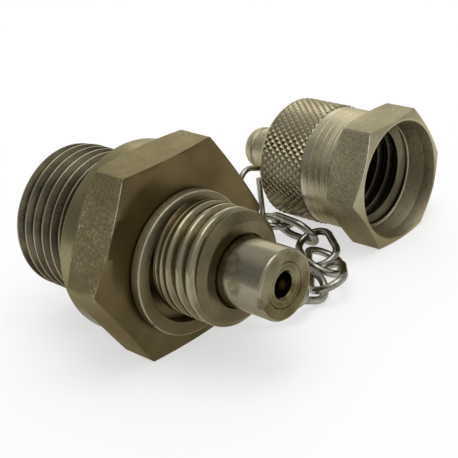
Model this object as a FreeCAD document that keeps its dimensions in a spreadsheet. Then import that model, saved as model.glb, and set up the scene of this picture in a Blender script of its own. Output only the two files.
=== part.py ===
import FreeCAD, Part
import math
import os
import re
import Sketcher

# Test point coupling lying on a table: a hexagon body with a pipe-thread stud at the back and a test
# thread with a valve nose at the front, and its screw cap held by a ring, a chain and a wire loop.
# Millimetres. The body's axis is the X axis, the stud's sealing face is at X = 0 and the nose points
# to +X. Z is up, and the table is half the hexagon's width across flats below the axis.

DIMENSIONS = {
    # Port stud, G 1/2 parallel pipe thread drawn at its major diameter
    "stud_radius": 10.4775,
    "stud_length": 14.0,
    "stud_chamfer": 1.2,
    "relief_radius": 9.1,
    "relief_width": 2.6,
    "relief_slope": 0.7,
    # Collar and hexagon, measured from the sealing face
    "collar_radius": 13.5,
    "collar_chamfer": 0.4,
    "collar_width": 2.8,
    "hex_across": 27.0,
    "hex_corner_radius": 15.45,
    "hex_start": 3.7,
    "hex_end": 9.1,
    "hex_face": 9.6,
    "hex_face_radius": 13.4,
    # Neck and M16 x 2 test thread, drawn at its major diameter
    "neck_radius": 6.5,
    "thread_start": 11.5,
    "thread_back_chamfer": 0.5,
    "thread_radius": 7.85,
    "thread_end": 20.3,
    "thread_chamfer": 1.3,
    # Bores of the body
    "recess_radius": 5.45,
    "recess_depth": 1.2,
    "insert_bore_radius": 4.77,
    "insert_seat": 10.0,
    "passage_radius": 2.2,
    "inlet_radius": 4.0,
    "inlet_chamfer": 0.5,
    "inlet_depth": 2.0,
    "drill_point": 1.0,
    # Nose insert, the housing of the valve, measured from its seat in the body
    "insert_radius": 4.75,
    "insert_length": 17.6,
    "insert_chamfer": 0.4,
    "ring_groove_start": 3.0,
    "ring_groove_width": 1.8,
    "ring_groove_radius": 3.45,
    "bush_bore_radius": 3.02,
    "bush_mouth": 0.15,
    # Seat bush in the front of the nose insert
    "bush_radius": 3.0,
    "bush_edge": 0.12,
    "bush_setback": 0.1,
    "probe_radius": 1.65,
    "probe_chamfer": 0.35,
    "probe_depth": 2.5,
    "seat_length": 2.85,
    "chamber_radius": 2.6,
    # Valve ball, its spring and the ring that the spring stands on
    "ball_radius": 2.35,
    "ball_gap": 0.02,
    "spring_wire": 0.8,
    "spring_radius": 1.9,
    "spring_pitch": 2.8,
    "spring_height": 8.2,
    "retainer_radius": 2.57,
    "retainer_bore": 1.3,
    "retainer_width": 1.6,
    # Rubber rings and the cap's gasket
    "insert_seal_section": 1.28,
    "port_seal_section": 1.65,
    "gasket_radius": 5.6,
    "gasket_thickness": 1.2,
    # Loose chain ring on the neck, with a welded eye on its lower far side
    "ring_outer": 9.95,
    "ring_inner": 8.0,
    "ring_thickness": 1.5,
    "ring_edge": 0.25,
    "ring_plane": 10.45,
    "ring_play": 0.05,
    "eye_radius": 1.75,
    "eye_wire": 1.1,
    "eye_place": 11.562,
    "eye_angle": 44.12,
    "eye_forward": 1.6,
    # Chain link
    "link_length": 9.4,
    "link_width": 6.2,
    "link_wire": 1.15,
    # Wire loop that ties the chain to the cap's knob
    "loop_wire": 0.9,
    "loop_eye_radius": 2.4,
    "loop_eye_start": 170.0,
    "loop_rise": 22.0,
    "loop_corner": 2.2,
    "loop_far_leg": 12.0,
    "loop_bar": 7.6,
    "loop_bar_top": 1.3,
    # Screw cap, measured back from its mouth
    "cap_across": 19.0,
    "cap_corner_radius": 10.88,
    "cap_face_radius": 9.3,
    "cap_hex_start": 0.7,
    "cap_hex_end": 5.7,
    "cap_band_start": 6.4,
    "cap_band_radius": 9.2,
    "cap_knurl_start": 11.8,
    "cap_knurl_radius": 9.4,
    "cap_knurl_edge": 0.2,
    "cap_knurl_end": 19.8,
    "cap_end": 20.4,
    "cap_end_radius": 8.8,
    "cap_stem_radius": 1.7,
    "stem_hole_radius": 1.72,
    "stem_hole_end": 18.3,
    "cap_stem_end": 23.4,
    "knob_radius": 3.4,
    "knob_groove_start": 26.7,
    "knob_groove_end": 27.1,
    "knob_groove_radius": 3.1,
    "knob_end": 29.5,
    "knob_dome": 2.3,
    "mouth_radius": 8.95,
    "mouth_depth": 1.6,
    "mouth_cone": 2.9,
    "cap_bore_radius": 6.9,
    "cap_bore_end": 13.0,
    "cap_well_radius": 5.7,
    "cap_well_end": 17.6,
    # Where the cap lies: its mouth, and the turn of its axis from the body's
    "cap_place_x": 15.66,
    "cap_place_y": 39.0,
    "cap_yaw": 1.5,
}

# How each link of the chain lies, from the ring to the cap: its centre, its heading in plan and its
# rise towards the ring in degrees, and its roll about its own length.
CHAIN = [
    {"centre": (15.11, 10.41, -9.92), "heading": -136.7, "rise": 3.9, "roll": -18.9},
    {"centre": (16.08, 14.85, -10.25), "heading": -102.1, "rise": 22.4, "roll": -43.0},
    {"centre": (16.64, 19.68, -11.16), "heading": -47.3, "rise": 7.2, "roll": 19.0},
    {"centre": (12.97, 23.47, -11.52), "heading": -48.7, "rise": 8.3, "roll": -26.5},
    {"centre": (8.89, 26.63, -11.83), "heading": -33.9, "rise": -7.4, "roll": 19.1},
    {"centre": (2.97, 28.29, -10.75), "heading": -5.5, "rise": 0.0, "roll": -59.1},
    {"centre": (-3.27, 29.74, -11.63), "heading": -22.9, "rise": 10.6, "roll": -11.7},
]

UP = FreeCAD.Vector(0, 0, 1)
ALONG_X = FreeCAD.Rotation(FreeCAD.Vector(0, 1, 0), 90)
SHEET = "Dimensions"

doc = FreeCAD.newDocument("test_point_coupling")


def fill_sheet():
    """Writes the driving dimensions to the sheet, a name and a number in each row."""
    sheet = doc.addObject("Spreadsheet::Sheet", SHEET)
    for row, (alias, value) in enumerate(DIMENSIONS.items(), start=1):
        sheet.set(f"A{row}", alias)
        sheet.set(f"B{row}", str(value))
        sheet.setAlias(f"B{row}", alias)
    doc.recompute()
    return sheet


sheet = fill_sheet()


def bound(text):
    """An expression in which each dimension's name points to its cell."""
    return re.sub(r"[a-z_]+", lambda m: f"{SHEET}.{m[0]}" if m[0] in DIMENSIONS else m[0], text)


def size(text):
    """The value of an expression of dimension names, in millimetres or degrees."""
    return float(sheet.evalExpression(bound(text)))


def new_body(label):
    """An empty body that will be one piece of the object."""
    body = doc.addObject("PartDesign::Body", label)
    body.Label = label
    return body


def plane_sketch(body, name, role, offset="0"):
    """A sketch on one of the body's own origin planes, moved along the plane's normal."""
    sketch = body.newObject("Sketcher::SketchObject", name)
    plane = next(feature for feature in body.Origin.OriginFeatures if feature.Role == role)
    sketch.AttachmentSupport = [(plane, "")]
    sketch.MapMode = "FlatFace"
    sketch.setExpression("AttachmentOffset.Base.z", bound(offset))
    return sketch


def drive(sketch, constraint, expression):
    """Adds a constraint whose value comes from the sheet."""
    sketch.setExpression(f"Constraints[{sketch.addConstraint(constraint)}]", bound(expression))


def draw_outline(sketch, points):
    """Draws a closed outline of straight lines through points given as pairs of expressions."""
    places = [FreeCAD.Vector(size(x), size(y), 0) for x, y in points]
    count = len(places)
    for k in range(count):
        sketch.addGeometry(Part.LineSegment(places[k], places[(k + 1) % count]), False)
    for k, (x, y) in enumerate(points):
        sketch.addConstraint(Sketcher.Constraint("Coincident", k, 2, (k + 1) % count, 1))
        if x == "0":
            sketch.addConstraint(Sketcher.Constraint("PointOnObject", k, 1, -2))
        else:
            drive(sketch, Sketcher.Constraint("DistanceX", -1, 1, k, 1, places[k].x), x)
        if y == "0":
            sketch.addConstraint(Sketcher.Constraint("PointOnObject", k, 1, -1))
        else:
            drive(sketch, Sketcher.Constraint("DistanceY", -1, 1, k, 1, places[k].y), y)


def turn(body, name, points):
    """Revolves an outline of (place along the axis, radius) round the body's X axis."""
    sketch = plane_sketch(body, f"{name}_outline", "XY_Plane")
    draw_outline(sketch, points)
    feature = body.newObject("PartDesign::Revolution", name)
    feature.Profile = sketch
    feature.ReferenceAxis = (sketch, ["H_Axis"])
    feature.Angle = 360
    doc.recompute()
    return feature


def mill_hexagon(body, name, start, length, across, outside):
    """Cuts six flats, two of them level, along a stretch of a turned body."""
    before = body.Shape.Volume
    sketch = plane_sketch(body, f"{name}_outline", "YZ_Plane", start)
    corner = size(f"({across}) / sqrt(3)")
    corners = [FreeCAD.Vector(corner, 0, 0)]
    for k in range(1, 6):
        corners.append(FreeCAD.Rotation(UP, 60 * k).multVec(corners[0]))
    for k in range(6):
        sketch.addGeometry(Part.LineSegment(corners[k], corners[(k + 1) % 6]), False)
    inner = sketch.addGeometry(Part.Circle(FreeCAD.Vector(), UP, corner), True)
    outer = sketch.addGeometry(Part.Circle(FreeCAD.Vector(), UP, size(outside)), False)
    for circle, radius in ((inner, f"({across}) / sqrt(3)"), (outer, outside)):
        sketch.addConstraint(Sketcher.Constraint("Coincident", circle, 3, -1, 1))
        drive(sketch, Sketcher.Constraint("Radius", circle, size(radius)), radius)
    for k in range(6):
        sketch.addConstraint(Sketcher.Constraint("Coincident", k, 2, (k + 1) % 6, 1))
        sketch.addConstraint(Sketcher.Constraint("PointOnObject", k, 1, inner))
    for k in range(1, 6):
        sketch.addConstraint(Sketcher.Constraint("Equal", 0, k))
    sketch.addConstraint(Sketcher.Constraint("PointOnObject", 0, 1, -1))
    cut = body.newObject("PartDesign::Pocket", name)
    cut.Profile = sketch
    cut.Reversed = True
    cut.setExpression("Length", bound(length))
    doc.recompute()
    if body.Shape.Volume >= before:
        raise RuntimeError(f"{name} cut nothing")
    return cut


def round_edge(body, base, name, place, radius, rounding):
    """Rounds the circular edge that lies at a place along the axis with a given radius."""
    found = [
        f"Edge{k}"
        for k, edge in enumerate(base.Shape.Edges, start=1)
        if isinstance(edge.Curve, Part.Circle)
        and abs(edge.Curve.Center.x - size(place)) < 1e-6
        and abs(edge.Curve.Radius - size(radius)) < 1e-6
    ]
    feature = body.newObject("PartDesign::Fillet", name)
    feature.Base = (base, found)
    feature.setExpression("Radius", bound(rounding))
    doc.recompute()
    return feature


def rubber_ring(label, place, inside, section):
    """A round-section ring about the X axis, lying on the floor of its groove."""
    ring = doc.addObject("Part::Torus", label)
    ring.Label = label
    ring.setExpression("Radius1", bound(f"{inside} + {section} / 2"))
    ring.setExpression("Radius2", bound(f"{section} / 2"))
    ring.Placement = FreeCAD.Placement(FreeCAD.Vector(), ALONG_X)
    ring.setExpression("Placement.Base.x", bound(place))
    return ring


def coupling_body():
    """The one-piece steel body: stud, collar, hexagon, neck, test thread and its stepped bore."""
    body = new_body("coupling_body")
    turn(
        body,
        "body_turned",
        [
            ("0", "inlet_radius + inlet_chamfer"),
            ("0", "stud_radius - stud_chamfer"),
            ("stud_chamfer", "stud_radius"),
            ("stud_length - relief_width", "stud_radius"),
            ("stud_length - relief_width + relief_slope", "relief_radius"),
            ("stud_length", "relief_radius"),
            ("stud_length", "collar_radius - collar_chamfer"),
            ("stud_length + collar_chamfer", "collar_radius"),
            ("stud_length + collar_width", "collar_radius"),
            ("stud_length + hex_start", "hex_corner_radius"),
            ("stud_length + hex_end", "hex_corner_radius"),
            ("stud_length + hex_face", "hex_face_radius"),
            ("stud_length + hex_face", "neck_radius"),
            ("stud_length + thread_start", "neck_radius"),
            ("stud_length + thread_start + thread_back_chamfer", "thread_radius"),
            ("stud_length + thread_end - thread_chamfer", "thread_radius"),
            ("stud_length + thread_end", "thread_radius - thread_chamfer"),
            ("stud_length + thread_end", "recess_radius"),
            ("stud_length + thread_end - recess_depth", "recess_radius"),
            ("stud_length + thread_end - recess_depth", "insert_bore_radius"),
            ("stud_length + insert_seat", "insert_bore_radius"),
            ("stud_length + insert_seat", "passage_radius"),
            ("stud_length + inlet_depth", "passage_radius"),
            ("stud_length + inlet_depth - drill_point", "inlet_radius"),
            ("inlet_chamfer", "inlet_radius"),
        ],
    )
    mill_hexagon(
        body,
        "body_flats",
        "stud_length + collar_width",
        "hex_face - collar_width",
        "hex_across",
        "hex_across",
    )
    body.setExpression("Placement.Base.x", bound("-stud_length"))
    return body


def nose_insert():
    """The turned valve housing that stands out of the test thread, bored for the ball and the bush."""
    body = new_body("nose_insert")
    turn(
        body,
        "insert_turned",
        [
            ("0", "chamber_radius"),
            ("0", "insert_radius"),
            ("ring_groove_start", "insert_radius"),
            ("ring_groove_start", "ring_groove_radius"),
            ("ring_groove_start + ring_groove_width", "ring_groove_radius"),
            ("ring_groove_start + ring_groove_width", "insert_radius"),
            ("insert_length - insert_chamfer", "insert_radius"),
            ("insert_length", "insert_radius - insert_chamfer"),
            ("insert_length", "bush_bore_radius + bush_mouth"),
            ("insert_length - bush_mouth", "bush_bore_radius"),
            ("insert_length - bush_setback - probe_depth - seat_length", "bush_bore_radius"),
            ("insert_length - bush_setback - probe_depth - seat_length", "chamber_radius"),
        ],
    )
    body.setExpression("Placement.Base.x", bound("insert_seat"))
    return body


def seat_bush():
    """The bush in the front of the nose, with the probe hole and the ball's conical seat behind it."""
    body = new_body("seat_bush")
    turn(
        body,
        "bush_turned",
        [
            ("0", "chamber_radius"),
            ("0", "bush_radius"),
            ("probe_depth + seat_length - bush_edge", "bush_radius"),
            ("probe_depth + seat_length", "bush_radius - bush_edge"),
            ("probe_depth + seat_length", "probe_radius + probe_chamfer"),
            ("probe_depth + seat_length - probe_chamfer", "probe_radius"),
            ("seat_length", "probe_radius"),
        ],
    )
    body.setExpression(
        "Placement.Base.x", bound("insert_seat + insert_length - bush_setback - probe_depth - seat_length")
    )
    return body


def valve_ball():
    """The ball that closes the probe hole, a hair off its conical seat."""
    slant = "sqrt(seat_length ^ 2 + (chamber_radius - probe_radius) ^ 2)"
    reach = f"((ball_radius + ball_gap) * {slant} - probe_radius * seat_length)"
    throat = "insert_seat + insert_length - bush_setback - probe_depth"
    ball = doc.addObject("Part::Sphere", "valve_ball")
    ball.Label = "valve_ball"
    ball.setExpression("Radius", bound("ball_radius"))
    ball.setExpression("Placement.Base.x", bound(f"{throat} - {reach} / (chamber_radius - probe_radius)"))
    return ball


def valve_spring():
    """The coil spring behind the ball, standing on the retainer."""
    body = new_body("valve_spring")
    sketch = plane_sketch(body, "spring_section", "XY_Plane")
    wire = sketch.addGeometry(
        Part.Circle(FreeCAD.Vector(0, size("spring_radius"), 0), UP, size("spring_wire / 2")), False
    )
    sketch.addConstraint(Sketcher.Constraint("PointOnObject", wire, 3, -2))
    drive(sketch, Sketcher.Constraint("DistanceY", -1, 1, wire, 3, size("spring_radius")), "spring_radius")
    drive(sketch, Sketcher.Constraint("Radius", wire, size("spring_wire / 2")), "spring_wire / 2")
    coil = body.newObject("PartDesign::AdditiveHelix", "spring_coil")
    coil.Profile = sketch
    coil.ReferenceAxis = (sketch, ["H_Axis"])
    coil.Mode = "pitch-height-angle"
    coil.setExpression("Pitch", bound("spring_pitch"))
    coil.setExpression("Height", bound("spring_height"))
    body.setExpression("Placement.Base.x", bound("insert_seat + retainer_width + spring_wire / 2 + ball_gap"))
    return body


def spring_retainer():
    """The bored disc that carries the spring and stands on the body's inner shoulder."""
    body = new_body("spring_retainer")
    turn(
        body,
        "retainer_turned",
        [
            ("0", "retainer_bore"),
            ("0", "retainer_radius"),
            ("retainer_width", "retainer_radius"),
            ("retainer_width", "retainer_bore"),
        ],
    )
    body.setExpression("Placement.Base.x", bound("insert_seat"))
    return body


def link_axes(link):
    """Unit vectors along a link and across its width."""
    heading, rise, roll = (math.radians(link[key]) for key in ("heading", "rise", "roll"))
    along = FreeCAD.Vector(
        math.cos(heading) * math.cos(rise), math.sin(heading) * math.cos(rise), math.sin(rise)
    )
    level = FreeCAD.Vector(-math.sin(heading), math.cos(heading), 0)
    return along, level * math.cos(roll) + along.cross(level) * math.sin(roll)


def chain_ring():
    """The flat ring that hangs on the neck, with a welded eye round the first link."""
    body = new_body("chain_ring")
    turn(
        body,
        "ring_turned",
        [
            ("0", "ring_inner + ring_edge"),
            ("0", "ring_outer - ring_edge"),
            ("ring_edge", "ring_outer"),
            ("ring_thickness - ring_edge", "ring_outer"),
            ("ring_thickness", "ring_outer - ring_edge"),
            ("ring_thickness", "ring_inner + ring_edge"),
            ("ring_thickness - ring_edge", "ring_inner"),
            ("ring_edge", "ring_inner"),
        ],
    )
    turned = FreeCAD.Rotation(FreeCAD.Vector(1, 0, 0), -size("eye_angle"))
    welded = body.newObject("PartDesign::AdditiveTorus", "ring_eye")
    welded.setExpression("Radius1", bound("eye_radius"))
    welded.setExpression("Radius2", bound("eye_wire / 2"))
    welded.Placement = FreeCAD.Placement(
        turned.multVec(FreeCAD.Vector(size("ring_thickness / 2 + eye_forward"), size("eye_place"), 0)), turned
    )
    body.setExpression("Placement.Base.x", bound("ring_plane - ring_thickness / 2"))
    body.setExpression("Placement.Base.z", bound("neck_radius + ring_play - ring_inner"))
    return body


def chain_link(label, link):
    """A welded link: two half-round ends joined by two straight limbs."""
    half = size("(link_length - link_width) / 2")
    bend = size("(link_width - link_wire) / 2")
    pieces = []
    for side in (1, -1):
        end = doc.addObject("Part::Torus", f"{label}_end")
        end.setExpression("Radius1", bound("(link_width - link_wire) / 2"))
        end.setExpression("Radius2", bound("link_wire / 2"))
        end.Angle3 = 180
        end.Placement = FreeCAD.Placement(FreeCAD.Vector(side * half, 0, 0), FreeCAD.Rotation(UP, -90 * side))
        limb = doc.addObject("Part::Cylinder", f"{label}_limb")
        limb.setExpression("Radius", bound("link_wire / 2"))
        limb.setExpression("Height", bound("link_length - link_width"))
        limb.Placement = FreeCAD.Placement(FreeCAD.Vector(-half, side * bend, 0), ALONG_X)
        pieces += [end, limb]
    welded = doc.addObject("Part::MultiFuse", label)
    welded.Label = label
    welded.Shapes = pieces
    along, across = link_axes(link)
    turned = FreeCAD.Rotation(along, across, along.cross(across), "XYZ")
    welded.Placement = FreeCAD.Placement(FreeCAD.Vector(*link["centre"]), turned)
    return welded


def cap_point(back, across=0.0, height=0.0):
    """A point of the cap: how far back from the mouth, sideways and above the cap's axis."""
    axis_height = size("(cap_across - hex_across) / 2")
    mouth = FreeCAD.Vector(size("cap_place_x"), size("cap_place_y"), axis_height)
    local = FreeCAD.Vector(-back, across, height)
    return mouth + FreeCAD.Rotation(UP, size("cap_yaw")).multVec(local)


def loop_plane():
    """How far back from the cap's mouth the wire loop stands, in the middle of the knob's stem."""
    return size("(cap_end + cap_stem_end) / 2")


def loop_route():
    """The loop's centre line: up from the table, over the top and round the knob's stem."""
    radius = size("loop_eye_radius")
    corner = size("loop_corner")
    rise = math.radians(size("loop_rise"))
    far, bar = -size("loop_far_leg"), -size("loop_bar")
    foot = (bar - far) / 2
    foot_height = size("loop_wire / 2 - cap_across / 2") + foot
    leave = math.radians(-90) - rise
    leave_point = (radius * math.cos(leave), radius * math.sin(leave))
    top_across = far + corner + corner * math.sin(rise)
    top_height = leave_point[1] + (leave_point[0] - top_across) * math.tan(rise)
    shoulder = top_height - corner * math.cos(rise)
    turn_over = math.radians(90) - rise
    over = turn_over + (math.radians(180) - turn_over) / 2
    start = math.radians(size("loop_eye_start"))
    around = (start + leave) / 2

    def at(across, height):
        return cap_point(loop_plane(), across, height)

    bar_top = at(bar, -size("loop_bar_top"))
    near_foot, far_foot = at(bar, foot_height), at(far, foot_height)
    under = at(far + foot, foot_height - foot)
    far_top = at(far, shoulder)
    crown = at(far + corner + corner * math.cos(over), shoulder + corner * math.sin(over))
    top = at(top_across, top_height)
    return Part.Wire(
        [
            Part.LineSegment(bar_top, near_foot).toShape(),
            Part.Arc(near_foot, under, far_foot).toShape(),
            Part.LineSegment(far_foot, far_top).toShape(),
            Part.Arc(far_top, crown, top).toShape(),
            Part.LineSegment(top, at(*leave_point)).toShape(),
            Part.Arc(
                at(*leave_point),
                at(radius * math.cos(around), radius * math.sin(around)),
                at(radius * math.cos(start), radius * math.sin(start)),
            ).toShape(),
        ]
    )


def cap_loop():
    """The bent wire loop: an eye round the cap's knob and a hanging bend that carries the chain."""
    route = doc.addObject("Part::Feature", "loop_route")
    route.Shape = loop_route()
    section = doc.addObject("Part::Circle", "loop_section")
    section.setExpression("Radius", bound("loop_wire / 2"))
    section.Placement = FreeCAD.Placement(route.Shape.Edges[0].firstVertex().Point, FreeCAD.Rotation())
    loop = doc.addObject("Part::Sweep", "cap_loop")
    loop.Label = "cap_loop"
    loop.Sections = [section]
    loop.Spine = (route, [f"Edge{k}" for k in range(1, len(route.Shape.Edges) + 1)])
    loop.Solid = True
    loop.Frenet = False
    return loop


def protective_cap():
    """The screw cap: hexagon at the mouth, turned band, grip barrel and a closed end for the knob."""
    body = new_body("protective_cap")
    turn(
        body,
        "cap_turned",
        [
            ("0", "mouth_radius"),
            ("0", "cap_face_radius"),
            ("cap_hex_start", "cap_corner_radius"),
            ("cap_hex_end", "cap_corner_radius"),
            ("cap_band_start", "cap_band_radius"),
            ("cap_knurl_start", "cap_band_radius"),
            ("cap_knurl_start + cap_knurl_edge", "cap_knurl_radius"),
            ("cap_knurl_end", "cap_knurl_radius"),
            ("cap_end", "cap_end_radius"),
            ("cap_end", "stem_hole_radius"),
            ("stem_hole_end", "stem_hole_radius"),
            ("stem_hole_end", "0"),
            ("cap_well_end", "0"),
            ("cap_well_end", "cap_well_radius"),
            ("cap_bore_end", "cap_well_radius"),
            ("cap_bore_end", "cap_bore_radius"),
            ("mouth_depth + mouth_cone", "cap_bore_radius"),
            ("mouth_depth", "mouth_radius"),
        ],
    )
    mill_hexagon(body, "cap_flats", "0", "cap_band_start", "cap_across", "cap_across")
    body.Placement = FreeCAD.Placement(cap_point(0), FreeCAD.Rotation(UP, 180 + size("cap_yaw")))
    return body


def cap_knob():
    """The domed knob that the wire loop hangs on, its stem held in the cap's closed end."""
    body = new_body("cap_knob")
    turned = turn(
        body,
        "knob_turned",
        [
            ("stem_hole_end + stem_hole_radius - cap_stem_radius", "0"),
            ("stem_hole_end + stem_hole_radius - cap_stem_radius", "cap_stem_radius"),
            ("cap_stem_end", "cap_stem_radius"),
            ("cap_stem_end", "knob_radius"),
            ("knob_groove_start", "knob_radius"),
            ("knob_groove_start", "knob_groove_radius"),
            ("knob_groove_end", "knob_groove_radius"),
            ("knob_groove_end", "knob_radius"),
            ("knob_end", "knob_radius"),
            ("knob_end", "0"),
        ],
    )
    round_edge(body, turned, "knob_domed", "knob_end", "knob_radius", "knob_dome")
    body.Placement = FreeCAD.Placement(cap_point(0), FreeCAD.Rotation(UP, 180 + size("cap_yaw")))
    return body


def cap_seal():
    """The gasket at the bottom of the cap's well."""
    gasket = doc.addObject("Part::Cylinder", "cap_seal")
    gasket.Label = "cap_seal"
    gasket.setExpression("Radius", bound("gasket_radius"))
    gasket.setExpression("Height", bound("gasket_thickness"))
    turned_back = FreeCAD.Rotation(UP, size("cap_yaw")).multiply(ALONG_X)
    gasket.Placement = FreeCAD.Placement(cap_point(size("cap_well_end")), turned_back)
    return gasket


def build():
    """Builds every piece and returns them."""
    groove_middle = "insert_seat + ring_groove_start + ring_groove_width / 2"
    port_place = "-port_seal_section / 2 - ball_gap"
    pieces = [
        coupling_body(),
        rubber_ring("port_seal_ring", port_place, "relief_radius", "port_seal_section"),
        nose_insert(),
        seat_bush(),
        rubber_ring("insert_seal_ring", groove_middle, "ring_groove_radius", "insert_seal_section"),
        valve_ball(),
        valve_spring(),
        spring_retainer(),
        chain_ring(),
    ]
    pieces += [chain_link(f"chain_link_{number}", link) for number, link in enumerate(CHAIN, start=1)]
    pieces += [cap_loop(), protective_cap(), cap_knob(), cap_seal()]
    return pieces


def export(pieces):
    """Checks every object and writes each piece to its own file."""
    doc.recompute()
    failed = [item.Label for item in doc.Objects if {"Invalid", "Error"} & set(item.State)]
    failed += [piece.Label for piece in pieces if piece.Shape.isNull() or not piece.Shape.isValid()]
    if failed:
        raise RuntimeError("not built: " + ", ".join(failed))
    os.makedirs("parts", exist_ok=True)
    for piece in pieces:
        piece.Shape.exportStep(f"parts/{piece.Label}.step")
        print(f"{piece.Label}: {piece.Shape.Volume:.2f} mm3, {len(piece.Shape.Solids)} solid")


export(build())
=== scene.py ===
"""Test point coupling with its screw cap on a chain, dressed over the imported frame.

Sizes are in millimetres, as in the part's source, and the meshes are made in metres. The body's axis is
the X axis, the stud's sealing face is at X = 0, the nose points to +X and Z is up. The corners of a half
section give x, radius and, where a corner is rounded, its rounding.
"""
import logging
import math
from collections.abc import Callable, Iterator
from contextlib import contextmanager
from dataclasses import dataclass, field, replace
from enum import Enum
from functools import cache

import bpy
from mathutils import Matrix, Vector

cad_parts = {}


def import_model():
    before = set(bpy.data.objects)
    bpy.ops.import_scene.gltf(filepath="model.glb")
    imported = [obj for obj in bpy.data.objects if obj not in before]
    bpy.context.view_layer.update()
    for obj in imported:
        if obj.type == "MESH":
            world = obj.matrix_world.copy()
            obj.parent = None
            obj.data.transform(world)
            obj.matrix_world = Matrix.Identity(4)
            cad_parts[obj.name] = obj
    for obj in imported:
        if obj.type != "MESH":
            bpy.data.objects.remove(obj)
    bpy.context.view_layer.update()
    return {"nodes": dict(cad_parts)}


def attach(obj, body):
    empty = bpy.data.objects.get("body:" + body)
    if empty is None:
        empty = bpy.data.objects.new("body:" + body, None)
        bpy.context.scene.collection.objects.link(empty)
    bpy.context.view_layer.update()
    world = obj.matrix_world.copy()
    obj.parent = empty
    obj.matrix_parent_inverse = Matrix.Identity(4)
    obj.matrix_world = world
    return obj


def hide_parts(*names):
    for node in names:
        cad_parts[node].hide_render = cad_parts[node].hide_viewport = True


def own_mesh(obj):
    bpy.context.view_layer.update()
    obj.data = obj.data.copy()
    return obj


MM = 0.001
TABLE_HEIGHT = -13.5
FLOOR_GAP = 0.02
MERGE_BELOW = 0.0005
CUT_LIMIT = 1e-8
OVER = 0.06  # how far a blank stands over the crests that are cut into it
SPARE = 0.5  # how far thread turns run past a blank's ends
LEAD = 2  # turns that are wound before and after the wanted ones
# levels of wear and painted highlight on the milled flats' borders
LEAST_WEAR, FRONT_WEAR = 0.2, 0.35
WIRE_SIDES = 20
SOFT = 32.0  # the usual angle, in degrees, up to which edges are shaded smooth
WHITE = (1.0, 1.0, 1.0)
LOG = logging.getLogger("test_point_coupling")
Corner = tuple[float, ...]
Tone = tuple[float, float, float]
Seat = tuple[str, str, str]
Piece = bpy.types.Object
Socket = bpy.types.NodeSocket

ON_BODY: Seat = ("coupling", "body_plating", "coupling_body")
ON_CAP: Seat = ("cap", "cap_plating", "protective_cap")
ON_RING: Seat = ("ring", "ring_plating", "chain_ring")


class Cut(Enum):
    """How one solid works on another."""

    KEEP_COMMON = "INTERSECT"
    TAKE_AWAY = "DIFFERENCE"
    JOIN = "UNION"


class Part(Enum):
    """What is picked on a mesh: the select mode, and the mesh's list of them."""

    POINTS = ("VERT", "vertices")
    EDGES = ("EDGE", "edges")
    FACES = ("FACE", "polygons")


class Surface(Enum):
    """The way a plated surface was worked before plating."""

    TURNED = "turned"
    MILLED = "milled"
    DRAWN = "drawn"


def take(name: str) -> Piece:
    """Name the object that an operator has just added.

    Args:
        name: the piece's name.

    Returns:
        The new object.
    """
    piece = bpy.context.active_object
    piece.name = name
    piece.data.name = name
    return piece


def focus(piece: Piece) -> None:
    """Make a piece the only selected and the active object.

    Args:
        piece: the piece that the next operators work on.
    """
    bpy.ops.object.select_all(action="DESELECT")
    piece.select_set(True)
    bpy.context.view_layer.objects.active = piece


@contextmanager
def editing(piece: Piece, part: Part = Part.POINTS, test: Callable[..., bool] | None = None) -> Iterator[None]:
    """Edit a piece with all of it selected, or only what a test picks.

    Args:
        piece: the piece to edit.
        part: what is selected.
        test: says whether a point, edge or face of the mesh is selected.
    """
    mode, elements = part.value
    focus(piece)
    bpy.ops.object.mode_set(mode="EDIT")
    bpy.ops.mesh.select_mode(type=mode)
    bpy.ops.mesh.select_all(action="DESELECT" if test else "SELECT")
    if test:
        bpy.ops.object.mode_set(mode="OBJECT")
        for element in getattr(piece.data, elements):
            element.select = test(element)
        bpy.ops.object.mode_set(mode="EDIT")
    yield
    bpy.ops.object.mode_set(mode="OBJECT")


def open_edges(piece: Piece) -> set[int]:
    """Find the edges at a piece's open ends.

    Args:
        piece: the piece.

    Returns:
        The numbers of the edges that only one face uses.
    """
    uses = [0] * len(piece.data.edges)
    for face in piece.data.polygons:
        for loop in face.loop_indices:
            uses[piece.data.loops[loop].edge_index] += 1
    return {index for index, count in enumerate(uses) if count == 1}


def close_up(piece: Piece) -> None:
    """Merge doubled vertices and turn all faces outwards.

    Args:
        piece: the piece to clean.
    """
    with editing(piece):
        bpy.ops.mesh.remove_doubles(threshold=MERGE_BELOW * MM)
        bpy.ops.mesh.normals_make_consistent(inside=False)


def settle(piece: Piece, place: Matrix) -> None:
    """Move a piece to its place and bake the place into its mesh.

    Args:
        piece: the piece, modelled at the origin.
        place: where its origin and axes go.
    """
    focus(piece)
    piece.matrix_world = place
    bpy.ops.object.transform_apply(location=True, rotation=True, scale=True)


def modify(piece: Piece, kind: str, **settings: object) -> None:
    """Put a modifier on a piece and apply it.

    Args:
        piece: the piece.
        kind: the modifier's type.
        settings: its settings by name.
    """
    focus(piece)
    modifier = piece.modifiers.new(kind.lower(), kind)
    for name, value in settings.items():
        setattr(modifier, name, value)
    bpy.ops.object.modifier_apply(modifier=modifier.name)


def work(piece: Piece, tool: Piece, cut: Cut) -> None:
    """Use one solid on another, and use it up."""
    modify(piece, "BOOLEAN", operation=cut.value, solver="EXACT", object=tool)
    bpy.data.objects.remove(tool)


def trim(piece: Piece, planes: list[tuple[Corner, Corner]]) -> None:
    """Cut off what lies beyond some planes and close the cuts.

    Args:
        piece: the piece.
        planes: a point of each plane, and its direction out of the piece.
    """
    with editing(piece):
        for point, normal in planes:
            bpy.ops.mesh.select_all(action="SELECT")
            bpy.ops.mesh.bisect(
                plane_co=tuple(c * MM for c in point), plane_no=normal, use_fill=True, clear_outer=True,
                threshold=CUT_LIMIT,
            )
    close_up(piece)


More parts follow.
